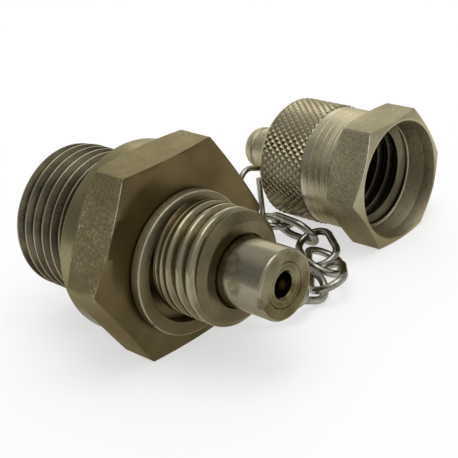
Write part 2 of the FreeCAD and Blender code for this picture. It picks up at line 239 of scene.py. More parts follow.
def rounded(corners: list[Corner], closed: bool = True, steps: int = 4) -> list[Corner]:
    """Round the corners of an outline.

    Args:
        corners: x, radius and any rounding of each point.
        closed: whether the last point joins the first.
        steps: pieces of each small arc.

    Returns:
        The outline's points with arcs in place of the rounded corners.
    """
    outline: list[Corner] = []
    count = len(corners)
    for index, (x, radius, *given) in enumerate(corners):
        if not given or (not closed and index in (0, count - 1)):
            outline.append((x, radius))
            continue
        rounding, corner = given[0], Vector((x, radius))
        before = (Vector(corners[index - 1][:2]) - corner).normalized()
        after = (Vector(corners[(index + 1) % count][:2]) - corner).normalized()
        half = before.angle(after) / 2
        reach = rounding / math.tan(half)
        centre = corner + (before + after).normalized() * (rounding / math.sin(half))
        first, last = corner + before * reach - centre, corner + after * reach - centre
        sweep = first.angle(last)
        for step in range(steps + 1):
            share = step / steps
            arm = (first * math.sin((1 - share) * sweep) + last * math.sin(share * sweep)) / math.sin(sweep)
            outline.append(tuple(centre + arm))
    return outline


def drawn_line(name: str, outline: list[Corner]) -> Piece:
    """Draw an outline in the XZ plane, point by point.

    Args:
        name: the piece's name.
        outline: x and radius of each point.

    Returns:
        The drawn line.
    """
    bpy.ops.mesh.primitive_plane_add(size=MM, location=(0, 0, 0))
    piece = take(name)
    with editing(piece):
        bpy.ops.mesh.merge(type="CENTER")
        x, radius = outline[0]
        bpy.ops.transform.translate(value=(x * MM, 0, radius * MM))
        for (x0, r0), (x1, r1) in zip(outline, outline[1:]):
            step = ((x1 - x0) * MM, 0, (r1 - r0) * MM)
            bpy.ops.mesh.extrude_vertices_move(TRANSFORM_OT_translate={"value": step})
    return piece


def turned(name: str, corners: list[Corner], closed: bool = True, steps: int = 96, arc: int = 4) -> Piece:
    """Turn a solid about the X axis.

    Args:
        name: the piece's name.
        corners: the half section's corners.
        closed: whether the section closes on itself; otherwise both ends lie on the axis.
        steps: facets round the solid.
        arc: pieces of each rounded corner.

    Returns:
        The turned solid.
    """
    outline = rounded(corners, closed, arc)
    piece = drawn_line(name, outline + outline[:1] if closed else outline)
    with editing(piece):
        bpy.ops.mesh.spin(steps=steps, angle=math.tau, center=(0, 0, 0), axis=(1, 0, 0))
    close_up(piece)
    return piece


def wire_ring(name: str, radius: float, wire: float, segments: int) -> Piece:
    """Bend round wire into a ring about the Z axis.

    Args:
        name: the piece's name.
        radius: radius of the wire's centre line.
        wire: the wire's diameter.
        segments: facets round the ring.

    Returns:
        The ring.
    """
    bpy.ops.mesh.primitive_torus_add(
        major_radius=radius * MM, minor_radius=wire / 2 * MM, major_segments=segments, minor_segments=WIRE_SIDES
    )
    return take(name)


def mill_flats(piece: Piece, across: float) -> None:
    """Cut six flats along the X axis, with level ones at the top and bottom.

    Args:
        piece: the turned blank.
        across: width across the flats.
    """
    angles = [math.radians(30 + 60 * side) for side in range(6)]
    normals = [(0, math.cos(angle), math.sin(angle)) for angle in angles]
    trim(piece, [(tuple(n * across / 2 for n in normal), normal) for normal in normals])


def mark_wear(piece: Piece, rubbed: Callable[[Vector], float]) -> None:
    """Mark how far the plating is rubbed off at the points of a piece, and where a painted highlight goes.

    Args:
        piece: the piece.
        rubbed: says from its place in millimetres how much a point is rubbed bright and given a painted
            highlight, from 0 to 1.
    """
    wear_and_highlight = piece.data.attributes.new("wear", "FLOAT", "POINT")
    for vertex in piece.data.vertices:
        wear_and_highlight.data[vertex.index].value = float(rubbed(vertex.co / MM))


def ease_flats(piece: Piece, across: float, middle: float, width: float, easing: float) -> None:
    """Round off the borders of six milled flats and mark them as places of wear and painted highlight.

    Args:
        piece: the milled piece.
        across: width across the flats.
        middle: x of the flats' middle.
        width: width of the strip along each border.
        easing: share by which the borders shrink towards the middle.
    """
    top = across / 2

    def is_flat(face: bpy.types.MeshPolygon) -> bool:
        """Whether a face is one of the milled flats."""
        return abs(face.normal.x) < 0.01 and abs(face.center.dot(face.normal) - top * MM) < 0.002 * MM

    def key(vertex: bpy.types.MeshVertex) -> Corner:
        """A vertex's place in millimetres, for looking it up."""
        return (vertex.co / MM).to_tuple(4)

    flats = [face for face in piece.data.polygons if is_flat(face)]
    border = {key(piece.data.vertices[index]) for face in flats for index in face.vertices}
    with editing(piece, Part.FACES, is_flat):
        bpy.ops.mesh.inset(use_individual=True, thickness=width * MM)

    def rubbed(place: Vector) -> float:
        """Say how much a border is rubbed bright and given a painted highlight: most at the upper front of the
        left flat, growing towards the top.

        Args:
            place: a point's place in millimetres.

        Returns:
            Its wear, from 0 to 1.
        """
        if place.to_tuple(4) not in border:
            return 0.0
        in_front = place.x > middle and place.y < 0 and 0 < place.z < top - 0.02 * across
        return FRONT_WEAR + (1 - FRONT_WEAR) * place.z / top if in_front else LEAST_WEAR

    mark_wear(piece, rubbed)
    less = 1.0 - easing
    with editing(piece, Part.POINTS, lambda vertex: key(vertex) in border):
        bpy.ops.transform.resize(value=(1.0 - 3 * easing, less, less), center_override=(middle * MM, 0, 0))


@dataclass(frozen=True)
class ThreadForm:
    """A screw thread's pitch, radii, the widths of its crest and root and their roundings."""

    pitch: float
    crest: float
    root: float
    crest_share: float = 0.16
    root_share: float = 0.16
    crest_round: float = 0.12
    root_round: float = 0.12
    steps: int = 96

    def section(self) -> list[Corner]:
        """Draw one pitch of the thread's section.

        Returns:
            Its points, from root to root.
        """
        top, foot = self.crest_share / 2 * self.pitch, self.root_share / 2 * self.pitch
        middle = self.pitch / 2
        corners = [
            (0.0, self.root),
            (foot, self.root, self.root_round),
            (middle - top, self.crest, self.crest_round),
            (middle + top, self.crest, self.crest_round),
            (self.pitch - foot, self.root, self.root_round),
            (self.pitch, self.root),
        ]
        return rounded(corners, closed=False)

    def solid(self, name: str, start: float, end: float, phase: float) -> Piece:
        """Wind the thread as a closed solid with square ends.

        Args:
            name: the solid's name.
            start: x of its back end.
            end: x of its front end.
            phase: part of a turn by which the thread is advanced.

        Returns:
            The wound solid.
        """
        turns = math.ceil((end - start) / self.pitch) + 2 * LEAD
        origin = start - (LEAD + phase) * self.pitch
        piece = drawn_line(name, [(origin + x, radius) for x, radius in self.section()])
        modify(
            piece, "SCREW", axis="X", angle=math.tau, screw_offset=self.pitch * MM, iterations=turns,
            steps=self.steps, render_steps=self.steps,
        )
        close_up(piece)
        trim(piece, [((start, 0, 0), (-1, 0, 0)), ((end, 0, 0), (1, 0, 0))])
        return piece


class NodeBench:
    """Adds nodes to one tree and links them."""

    def __init__(self, tree: bpy.types.NodeTree) -> None:
        """Keep the tree that nodes are added to."""
        self.tree = tree

    def feed(self, target: Socket, value: object) -> None:
        """Give an input a value, or a link if it is a socket.

        Args:
            target: the input.
            value: a socket or a plain value.
        """
        if isinstance(value, Socket):
            self.tree.links.new(value, target)
        else:
            target.default_value = value

    def add(self, kind: str, *values: object, **inputs: object) -> bpy.types.Node:
        """Add a node.

        Args:
            kind: the node's type, without its ShaderNode prefix.
            values: values or sockets of its first inputs, in order.
            inputs: its settings, and its inputs' values or sockets, by name, with _ for a space.

        Returns:
            The new node.
        """
        node = self.tree.nodes.new(kind if kind.startswith("Node") else "ShaderNode" + kind)
        for name, value in inputs.items():
            if hasattr(node, name):
                setattr(node, name, value)
            else:
                self.feed(node.inputs[name.replace("_", " ")], value)
        for target, value in zip(node.inputs, values):
            self.feed(target, value)
        return node

    def math(self, operation: str, *values: object) -> Socket:
        """Add a sum of sockets or numbers and give its result."""
        return self.add("Math", *values, operation=operation).outputs[0]

    def ramp(self, source: Socket, low: float, high: float) -> Socket:
        """Spread the values from low to high over 0 to 1."""
        node = self.add("MapRange", interpolation_type="SMOOTHSTEP", Value=source, From_Min=low, From_Max=high)
        return node.outputs["Result"]

    def blend(self, share: Socket, first: Tone | Socket, second: Tone | Socket, mode: str = "MIX") -> Socket:
        """Blend two colours.

        Args:
            share: how much of the second colour.
            first: a colour or its socket.
            second: a colour or its socket.
            mode: the Mix node's blend type.

        Returns:
            The blended colour's socket.
        """
        node = self.add("Mix", data_type="RGBA", blend_type=mode)
        self.feed(node.inputs[0], share)
        for target, value in ((node.inputs[6], first), (node.inputs[7], second)):
            self.feed(target, value if isinstance(value, Socket) else (*value, 1.0))
        return node.outputs[2]


def new_tree(owner: bpy.types.Material | bpy.types.World) -> tuple[NodeBench, Socket]:
    """Start the nodes of a material or a world.

    Args:
        owner: the material or world.

    Returns:
        The bench of its node tree, and the input of its output node.
    """
    owner.use_nodes = True
    bench = NodeBench(owner.node_tree)
    bench.tree.nodes.clear()
    kind = "OutputWorld" if isinstance(owner, bpy.types.World) else "OutputMaterial"
    return bench, bench.add(kind).inputs[0]


class Effects:
    """The shared surface effects, each a node group that is built once."""

    @staticmethod
    def start(name: str, inputs: dict[str, str], *outputs: str) -> tuple:
        """Start a node group.

        Args:
            name: the group's name.
            inputs: its inputs' names and socket types.
            outputs: the names of its outputs, which are numbers.

        Returns:
            The group's bench, the sockets that it is given and those that it puts out.
        """
        bench = NodeBench(bpy.data.node_groups.new(name, "ShaderNodeTree"))
        for label, kind in inputs.items():
            bench.tree.interface.new_socket(label, in_out="INPUT", socket_type="NodeSocket" + kind)
        for label in outputs:
            bench.tree.interface.new_socket(label, in_out="OUTPUT", socket_type="NodeSocketFloat")
        return bench, bench.add("NodeGroupInput").outputs, bench.add("NodeGroupOutput").inputs

    @staticmethod
    @cache
    def cloudiness() -> bpy.types.NodeTree:
        """The plating's cloudy change of tone and its fine grain.

        Returns:
            The effect's node group.
        """
        inputs = {"Vector": "Vector", "Stretch": "Vector", "Cloud Scale": "Float", "Grain Scale": "Float"}
        bench, given, result = Effects.start("cloudiness", inputs, "Cloud", "Grain")
        drawn_out = bench.add("VectorMath", given["Vector"], given["Stretch"], operation="MULTIPLY")
        cloud = bench.add(
            "TexNoise", Vector=drawn_out.outputs[0], Scale=given["Cloud Scale"], Detail=4.0, Roughness=0.6
        )
        grain = bench.add(
            "TexNoise", Vector=given["Vector"], Scale=given["Grain Scale"], Detail=3.0, Roughness=0.7
        )
        bench.feed(result["Cloud"], bench.ramp(cloud.outputs["Fac"], 0.32, 0.70))
        bench.feed(result["Grain"], bench.ramp(grain.outputs["Fac"], 0.25, 0.75))
        return bench.tree

    @staticmethod
    @cache
    def edge_wear() -> bpy.types.NodeTree:
        """Bare bright metal along borders, broken up as rubbing leaves it; on rounded rims it is also a painted
        highlight.

        Returns:
            The effect's node group.
        """
        inputs = {"Vector": "Vector", "Border": "Float", "Scale": "Float"}
        bench, given, result = Effects.start("edge_wear", inputs, "Worn")
        patches = bench.add(
            "TexNoise", Vector=given["Vector"], Scale=given["Scale"], Detail=3.0, Roughness=0.65
        )
        uneven = bench.math("MULTIPLY", bench.ramp(patches.outputs["Fac"], 0.25, 0.62), given["Border"])
        bench.feed(result["Worn"], bench.ramp(uneven, 0.12, 0.60))
        return bench.tree

    @staticmethod
    @cache
    def tool_marks() -> bpy.types.NodeTree:
        """Fine rings that a turning tool leaves round the X axis, the radius there and a mask for painted shade
        on the underside.

        Returns:
            The effect's node group.
        """
        inputs = {"Vector": "Vector", "Rings": "Float"}
        bench, given, result = Effects.start("tool_marks", inputs, "Height", "Radius", "Underside Shade")
        x, y, z = bench.add("SeparateXYZ", Vector=given["Vector"]).outputs
        radius = bench.math("SQRT", bench.math("ADD", bench.math("POWER", y, 2.0), bench.math("POWER", z, 2.0)))
        along, out = (bench.math("MULTIPLY", length, given["Rings"]) for length in (x, radius))
        rings = bench.add("CombineXYZ", X=along, Y=out).outputs[0]
        noise = bench.add("TexNoise", noise_dimensions="2D", Vector=rings, Scale=1.0, Detail=2.0)
        bench.feed(result["Height"], noise.outputs["Fac"])
        bench.feed(result["Radius"], radius)
        bench.feed(result["Underside Shade"], bench.ramp(bench.math("DIVIDE", z, radius), 0.15, -0.45))
        return bench.tree


@dataclass(frozen=True)
class Plating:
    """A plated steel finish: tones, gloss, the marks and wear that the surface shows, with painted shade below
    and in thread roots, and painted highlights on crests and grains.
    """

    name: str
    dark: Tone
    light: Tone
    surface: Surface = Surface.TURNED
    smoothness: tuple[float, float] = (0.26, 0.42)
    grain_scale: float = 2600.0
    cloud_scale: float = 130.0
    stretch: tuple[float, float, float] = (1.0, 1.0, 1.0)
    rings: float = 5200.0
    mark_depth: float = 0.25
    mark_height: float = 0.02
    # radii over which the crests are rubbed bright and carry a painted highlight, and its share
    crest: tuple[float, float] | None = None
    crest_share: float = 0.45
    # radii over which painted shade darkens the thread roots, and how much
    root_shade: tuple[float, float] | None = None
    root_shade_share: float = 0.8
    # the tone of real dark specks and of the painted shade in thread roots
    speck_and_root_shade: Tone = (0.030, 0.024, 0.013)
    # the tone of bare rubbed metal, also used for painted highlights and glints
    bare_and_highlight: Tone = (0.38, 0.35, 0.265)
    bare_polish: float = 0.08
    # how much edge wear shows, which on rounded rims also stands for a painted highlight
    wear: float = 1.0
    wear_scale: float = 260.0
    speckle: float = 0.10
    # share of painted glints on bright grains
    sparkle: float = 0.0
    # painted shade multiplied into the underside
    underside_shade: Tone = (0.66, 0.61, 0.52)
    glance: Tone = (0.86, 0.80, 0.66)
    centre: tuple[float, float, float] = (0.0, 0.0, 0.0)
    yaw: float = 0.0

    @cache
    def make(self) -> bpy.types.Material:
        """Build the material at the first call.

        Returns:
            The node material of this finish.
        """
        material = bpy.data.materials.new(self.name)
        material.diffuse_color = (*self.light, 1.0)
        bench, surface = new_tree(material)
        shader = bench.add("BsdfPrincipled", Metallic=1.0, Specular_Tint=(*self.glance, 1.0))
        bench.feed(surface, shader.outputs[0])
        place = bench.add(
            "Mapping", vector_type="TEXTURE", Vector=bench.add("TexCoord").outputs["Object"],
            Location=tuple(c * MM for c in self.centre), Rotation=(0, 0, math.radians(self.yaw)),
        ).outputs[0]
        skin = bench.add(
            "Group", node_tree=Effects.cloudiness(), Vector=place, Stretch=self.stretch,
            Cloud_Scale=self.cloud_scale, Grain_Scale=self.grain_scale,
        ).outputs
        marks = bench.add("Group", node_tree=Effects.tool_marks(), Vector=place, Rings=self.rings).outputs
        wear = bench.add(
            "Group", node_tree=Effects.edge_wear(), Vector=place, Scale=self.wear_scale,
            Border=bench.add("Attribute", attribute_name="wear").outputs["Fac"],
        ).outputs
        wear_and_highlight = bench.math("MULTIPLY", wear["Worn"], self.wear)
        # crests: rubbed metal with a painted highlight
        if self.crest:
            rubbed = bench.ramp(marks["Radius"], self.crest[0] * MM, self.crest[1] * MM)
            uneven = bench.math("MULTIPLY_ADD", skin["Cloud"], self.crest_share, self.crest_share)
            wear_and_highlight = bench.math("MAXIMUM", wear_and_highlight, bench.math("MULTIPLY", rubbed, uneven))
        tone = bench.blend(skin["Cloud"], self.dark, self.light)
        pits = bench.math("MULTIPLY", bench.ramp(skin["Grain"], 0.62, 0.20), self.speckle)
        tone = bench.blend(pits, tone, self.speck_and_root_shade)
        # painted shade in the thread roots, darker towards the root
        if self.root_shade:
            root_shade_mask = bench.ramp(marks["Radius"], self.root_shade[1] * MM, self.root_shade[0] * MM)
            tone = bench.blend(bench.math("MULTIPLY", root_shade_mask, self.root_shade_share), tone, self.speck_and_root_shade)
        # painted shade on the underside, darker towards the bottom
        tone = bench.blend(marks["Underside Shade"], tone, self.underside_shade, "MULTIPLY")
        # painted glints on bright grains
        if self.sparkle:
            zone = bench.ramp(skin["Cloud"], 0.40, 0.80)
            painted_glints = bench.math("MULTIPLY", bench.ramp(skin["Grain"], 0.78, 0.94), zone)
            wear_and_highlight = bench.math("MAXIMUM", wear_and_highlight, bench.math("MULTIPLY", painted_glints, self.sparkle))
        bench.feed(shader.inputs["Base Color"], bench.blend(wear_and_highlight, tone, self.bare_and_highlight))
        low, high = self.smoothness
        rough = bench.add("MapRange", Value=skin["Grain"], To_Min=low, To_Max=high).outputs["Result"]
        polish = bench.math("MULTIPLY", wear_and_highlight, self.bare_polish)
        bench.feed(shader.inputs["Roughness"], bench.math("SUBTRACT", rough, polish))
        height = marks["Height"] if self.surface is Surface.TURNED else skin["Grain"]
        bump = bench.add("Bump", Strength=self.mark_depth, Distance=self.mark_height * MM, Height=height)
        bench.feed(shader.inputs["Normal"], bump.outputs[0])
        return material


@dataclass(frozen=True)
class Rubber:
    """Black seal rubber with a dusty, slightly uneven skin."""

    name: str
    tone: Tone = (0.022, 0.022, 0.024)
    dust: float = 2.2
    smoothness: tuple[float, float] = (0.42, 0.62)
    cloud_scale: float = 400.0
    grain_scale: float = 5000.0

    @cache
    def make(self) -> bpy.types.Material:
        """Build the material at the first call.

        Returns:
            The node material of this finish.
        """
        material = bpy.data.materials.new(self.name)
        bench, surface = new_tree(material)
        skin = bench.add(
            "Group", node_tree=Effects.cloudiness(), Vector=bench.add("TexCoord").outputs["Object"],
            Stretch=(1.0, 1.0, 1.0), Cloud_Scale=self.cloud_scale, Grain_Scale=self.grain_scale,
        ).outputs
        low, high = self.smoothness
        rough = bench.add("MapRange", Value=skin["Grain"], To_Min=low, To_Max=high).outputs["Result"]
        dusty = tuple(c * self.dust for c in self.tone)
        tone = bench.blend(skin["Cloud"], self.tone, dusty)
        bench.feed(surface, bench.add("BsdfPrincipled", Base_Color=tone, Roughness=rough).outputs[0])
        return material


Finish = Plating | Rubber
CAP_PLACE = (15.66, 39.0, -4.0)
CAP_YAW = 1.5
AT_CAP = {"centre": CAP_PLACE, "yaw": CAP_YAW}
NO_UNDERSIDE_SHADE = WHITE  # no painted shade on the underside

BODY_FINISH = Plating(
    "body_plating", (0.160, 0.138, 0.078), (0.285, 0.246, 0.142), smoothness=(0.22, 0.32), cloud_scale=70.0,
    mark_depth=0.08, speckle=0.04, underside_shade=(0.52, 0.45, 0.33),
)
# painted dark reflection: a darker, browner copy of the plating for the hexagon's front face
FACE_DARK_REFLECTION_FINISH = Plating(
    "face_painted_reflection", (0.085, 0.063, 0.027), (0.150, 0.112, 0.052), smoothness=(0.28, 0.42), cloud_scale=55.0,
    wear=0.0, speckle=0.03, underside_shade=NO_UNDERSIDE_SHADE,
)
# the flats' sparkle paints glints on bright grains
FLATS_FINISH = Plating(
    "flats_plating", (0.220, 0.188, 0.098), (0.300, 0.258, 0.138), Surface.MILLED, (0.42, 0.70), 3000.0,
    mark_depth=0.8, speckle=0.30, sparkle=0.9, bare_and_highlight=(0.66, 0.62, 0.50), underside_shade=(0.62, 0.55, 0.41),
)
# painted highlight on the crests and painted shade in the thread roots
STUD_FINISH = Plating(
    "stud_plating", (0.070, 0.064, 0.046), (0.215, 0.190, 0.125), crest=(10.40, 10.475), root_shade=(9.35, 9.95),
    bare_and_highlight=(0.45, 0.39, 0.265),
)
# painted highlight on the crests and painted shade in the thread roots
THREAD_FINISH = Plating(
    "thread_plating", (0.155, 0.135, 0.084), (0.300, 0.266, 0.172), crest=(7.70, 7.86), root_shade=(7.02, 7.28),
    bare_and_highlight=(0.34, 0.305, 0.215), smoothness=(0.13, 0.24),
)
# painted shade: a darker copy of the thread's plating for its front end and the recess
FRONT_SHADE_FINISH = Plating(
    "front_painted_shade", (0.090, 0.074, 0.040), (0.165, 0.138, 0.080), smoothness=(0.26, 0.40), wear=0.0,
    underside_shade=NO_UNDERSIDE_SHADE,
)
NOSE_FINISH = Plating(
    "nose_steel", (0.128, 0.112, 0.062), (0.240, 0.211, 0.126), smoothness=(0.14, 0.28), cloud_scale=330.0,
    stretch=(0.12, 1.0, 1.0), wear=0.4, bare_and_highlight=(0.42, 0.39, 0.31), underside_shade=(0.72, 0.65, 0.52),
)
RING_FINISH = Plating(
    "ring_plating", (0.235, 0.198, 0.118), (0.330, 0.284, 0.180), Surface.MILLED, (0.50, 0.70),
    mark_depth=0.35, wear=0.6, bare_and_highlight=(0.50, 0.46, 0.36), underside_shade=(0.60, 0.55, 0.45),
)
CHAIN_FINISH = Plating(
    "chain_steel", (0.175, 0.166, 0.138), (0.370, 0.356, 0.308), Surface.DRAWN, (0.12, 0.26), 2200.0, 300.0,
    mark_depth=0.3, underside_shade=NO_UNDERSIDE_SHADE,
)
CAP_FINISH = Plating(
    "cap_plating", (0.370, 0.330, 0.216), (0.510, 0.458, 0.312), smoothness=(0.30, 0.46), mark_depth=0.15,
    bare_and_highlight=(0.46, 0.43, 0.34), **AT_CAP,
)
CAP_RIM_FINISH = replace(CAP_FINISH, name="cap_rim_plating", wear=0.0)
CAP_FLATS_FINISH = Plating(
    "cap_flats_plating", (0.345, 0.308, 0.200), (0.470, 0.423, 0.288), Surface.MILLED, (0.48, 0.72), 3000.0,
    mark_depth=0.8, bare_and_highlight=(0.98, 0.96, 0.88), speckle=0.30, **AT_CAP,
)
# painted highlight on the diamonds' tops, over rubbed metal
GRIP_FINISH = Plating(
    "grip_plating", (0.205, 0.179, 0.112), (0.315, 0.278, 0.182), crest=(9.25, 9.42),
    bare_and_highlight=(0.36, 0.322, 0.218), **AT_CAP,
)
# painted light: the mouth's inner wall is much lighter than the cap, as if lit through the mouth
CAP_MOUTH_LIT_FINISH = Plating(
    "cap_mouth_painted_light", (0.400, 0.355, 0.238), (0.580, 0.522, 0.368), smoothness=(0.36, 0.56),
    mark_depth=0.6, underside_shade=NO_UNDERSIDE_SHADE, **AT_CAP,
)
# painted shade: a darker copy of the lit mouth wall for the cone deeper in
CAP_FOOT_SHADE_FINISH = replace(
    CAP_MOUTH_LIT_FINISH, name="cap_foot_painted_shade", dark=(0.150, 0.130, 0.084), light=(0.240, 0.213, 0.142)
)
# painted shade: much darker than the cap's plating, with painted shade in the thread roots
CAP_THREAD_SHADE_FINISH = Plating(
    "cap_thread_painted_shade", (0.075, 0.065, 0.041), (0.150, 0.132, 0.086), root_shade=(8.05, 7.60),
    underside_shade=NO_UNDERSIDE_SHADE, **AT_CAP,
)
VALVE_FINISH = Plating("valve_steel", (0.30, 0.29, 0.27), (0.46, 0.45, 0.42), Surface.DRAWN, (0.12, 0.22))
SEAL_FINISH = Rubber("seal_rubber")


def dress(piece: Piece, *finishes: Finish) -> None:
    """Give a piece its material slots.

    Args:
        piece: the piece.
        finishes: the finishes of its slots, in order.
    """
    piece.data.materials.clear()
    for finish in finishes:
        piece.data.materials.append(finish.make())


def complete(piece: Piece, degrees: float, seat: Seat, *finishes: Finish) -> None:
    """Shade and dress a finished piece, tie it to the frame and report it.

    Args:
        piece: the finished piece.
        degrees: edges with a larger angle stay sharp; 0 leaves the faces flat.
        seat: the body that it moves with, a material slot name that is not used, and the solid that it stands
            for.
        finishes: the finishes of its slots, or none if it is dressed already.
    """
    body, slot, node = seat
    if degrees:
        focus(piece)
        bpy.ops.object.shade_smooth_by_angle(angle=math.radians(degrees))
    if finishes:
        dress(piece, *finishes)
    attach(piece, body)
    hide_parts(node)
    LOG.info("%s: %d faces on %s", piece.name, len(piece.data.polygons), body)


@dataclass
class CouplingBody:
    """The one-piece body: port stud, collar, hexagon, neck and test thread."""

    stud: ThreadForm = ThreadForm(1.814, 10.4775, 9.32, 0.13, 0.22, 0.07, 0.20)
    test: ThreadForm = ThreadForm(2.0, 7.85, 7.02, 0.46, 0.10, 0.45, 0.16)
    stud_phase: float = 0.82
    test_phase: float = 0.15
    stud_length: float = 14.0
    stud_chamfer: float = 1.2
    relief_radius: float = 9.1
    relief_width: float = 2.6
    relief_slope: float = 0.7
    inlet_radius: float = 4.0
    inlet_chamfer: float = 0.5
    passage_radius: float = 2.2
    collar_radius: float = 13.5
    collar_width: float = 2.8
    hex_across: float = 27.0
    hex_corner: float = 15.45
    hex_start: float = 3.7
    hex_end: float = 9.1
    hex_face: float = 9.6
    hex_face_radius: float = 13.4
    neck_radius: float = 6.5
    thread_start: float = 11.5
    thread_back: float = 0.5
    runout: float = 13.2
    runout_slope: float = 0.6
    thread_end: float = 20.3
    thread_chamfer: float = 1.3
    recess_radius: float = 5.0
    recess_foot: float = 4.80
    recess_depth: float = 0.35
    front_depth: float = 0.9
    insert_bore: float = 4.77

    def build(self) -> None:
        """Build and dress all pieces of the body."""
        self.port_stud()
        self.collar()
        self.hexagon()
        self.neck()
        self.test_thread()

    def port_stud(self) -> None:
        """The threaded stud with its chamfered end and inlet."""
        back, front = -self.stud_length, -self.relief_width
        high = self.stud.crest
        sleeve = turned("port_stud", [
            (back, self.inlet_radius + self.inlet_chamfer),
            (back, high - self.stud_chamfer, 0.2),
            (back + self.stud_chamfer * 0.9, high + OVER),
            (front - self.relief_slope, high + OVER),
            (front, self.relief_radius - 0.2),
            (front, self.inlet_radius),
            (back + self.inlet_chamfer, self.inlet_radius),
        ])
        turns = self.stud.solid("stud_turns", back - SPARE, front + SPARE, self.stud_phase)
        work(sleeve, turns, Cut.KEEP_COMMON)
        close_up(sleeve)
        complete(sleeve, 28.0, ON_BODY, STUD_FINISH)

    def collar(self) -> None:
        """The round sealing collar with the relief behind it and the inlet's end."""
        back, front = -self.relief_width - 0.8, self.collar_width + 0.3
        piece = turned("sealing_collar", [
            (back, self.inlet_radius),
            (back, self.relief_radius),
            (0.0, self.relief_radius, 0.3),
            (0.0, self.collar_radius, 0.45),
            (front, self.collar_radius),
            (front, self.passage_radius),
            (2.0, self.passage_radius),
            (1.0, self.inlet_radius),
        ])
        complete(piece, SOFT, ON_BODY, BODY_FINISH)

    def hexagon(self) -> None:
        """The hexagon with its turned chamfers at both ends."""
        corners = [
            (self.collar_width, self.passage_radius),
            (self.collar_width, self.collar_radius),
            (self.hex_start, self.hex_corner),
            (self.hex_end, self.hex_corner),
            (self.hex_face, self.hex_face_radius),
            (self.hex_face, self.hex_face_radius - 1.2),
            (self.hex_face, self.passage_radius),
        ]
        piece = turned("hexagon", corners, steps=144)
        # slot 0, the front face, carries the painted dark reflection
        dress(piece, FACE_DARK_REFLECTION_FINISH, FLATS_FINISH)
        mill_flats(piece, self.hex_across)
        ease_flats(piece, self.hex_across, (self.collar_width + self.hex_face) / 2, 0.28, 0.004)
        outside = self.hex_across * 0.45 * MM
        for face in piece.data.polygons:
            face.material_index = int(face.normal.x < 0.5 and face.center.yz.length > outside)
        complete(piece, 20.0, ON_BODY)

    def neck(self) -> None:
        """The neck that the chain's ring turns on."""
        back, front = self.hex_face - 0.5, self.thread_start + self.thread_back
        piece = turned("neck", [
            (back, self.insert_bore),
            (back, self.neck_radius, 0.2),
            (front, self.neck_radius, 0.2),
            (front, self.insert_bore),
        ])
        complete(piece, SOFT, ON_BODY, BODY_FINISH)

    def test_thread(self) -> None:
        """The test thread with its chamfered ends and the recess round the nose."""
        high, start, end = self.test.crest, self.thread_start, self.thread_end
        sleeve = turned("test_thread", [
            (start, self.insert_bore),
            (start, self.neck_radius),
            (start + self.thread_back, high + OVER),
            (end - self.thread_chamfer, high + OVER, 0.9),
            (end, high - self.thread_chamfer, 0.5),
            (end, self.recess_radius, 0.12),
            (end - self.recess_depth, self.recess_foot),
            (end - self.recess_depth, self.insert_bore),
        ])
        turns = self.test.solid("test_turns", start - SPARE, end + SPARE, self.test_phase)
        foot = self.runout + self.runout_slope
        plain = turned("plain_turns", [
            (start - 1.0, self.insert_bore),
            (start - 1.0, high - 0.02),
            (self.runout, high - 0.02),
            (foot, self.test.root),
            (foot, self.insert_bore),
        ])
        work(turns, plain, Cut.JOIN)
        work(sleeve, turns, Cut.KEEP_COMMON)
        close_up(sleeve)
        # the front end and the recess carry painted shade
        dress(sleeve, THREAD_FINISH, FRONT_SHADE_FINISH)
        for face in sleeve.data.polygons:
            face.material_index = int(face.center.x > (end - self.front_depth) * MM)
        complete(sleeve, 28.0, ON_BODY)


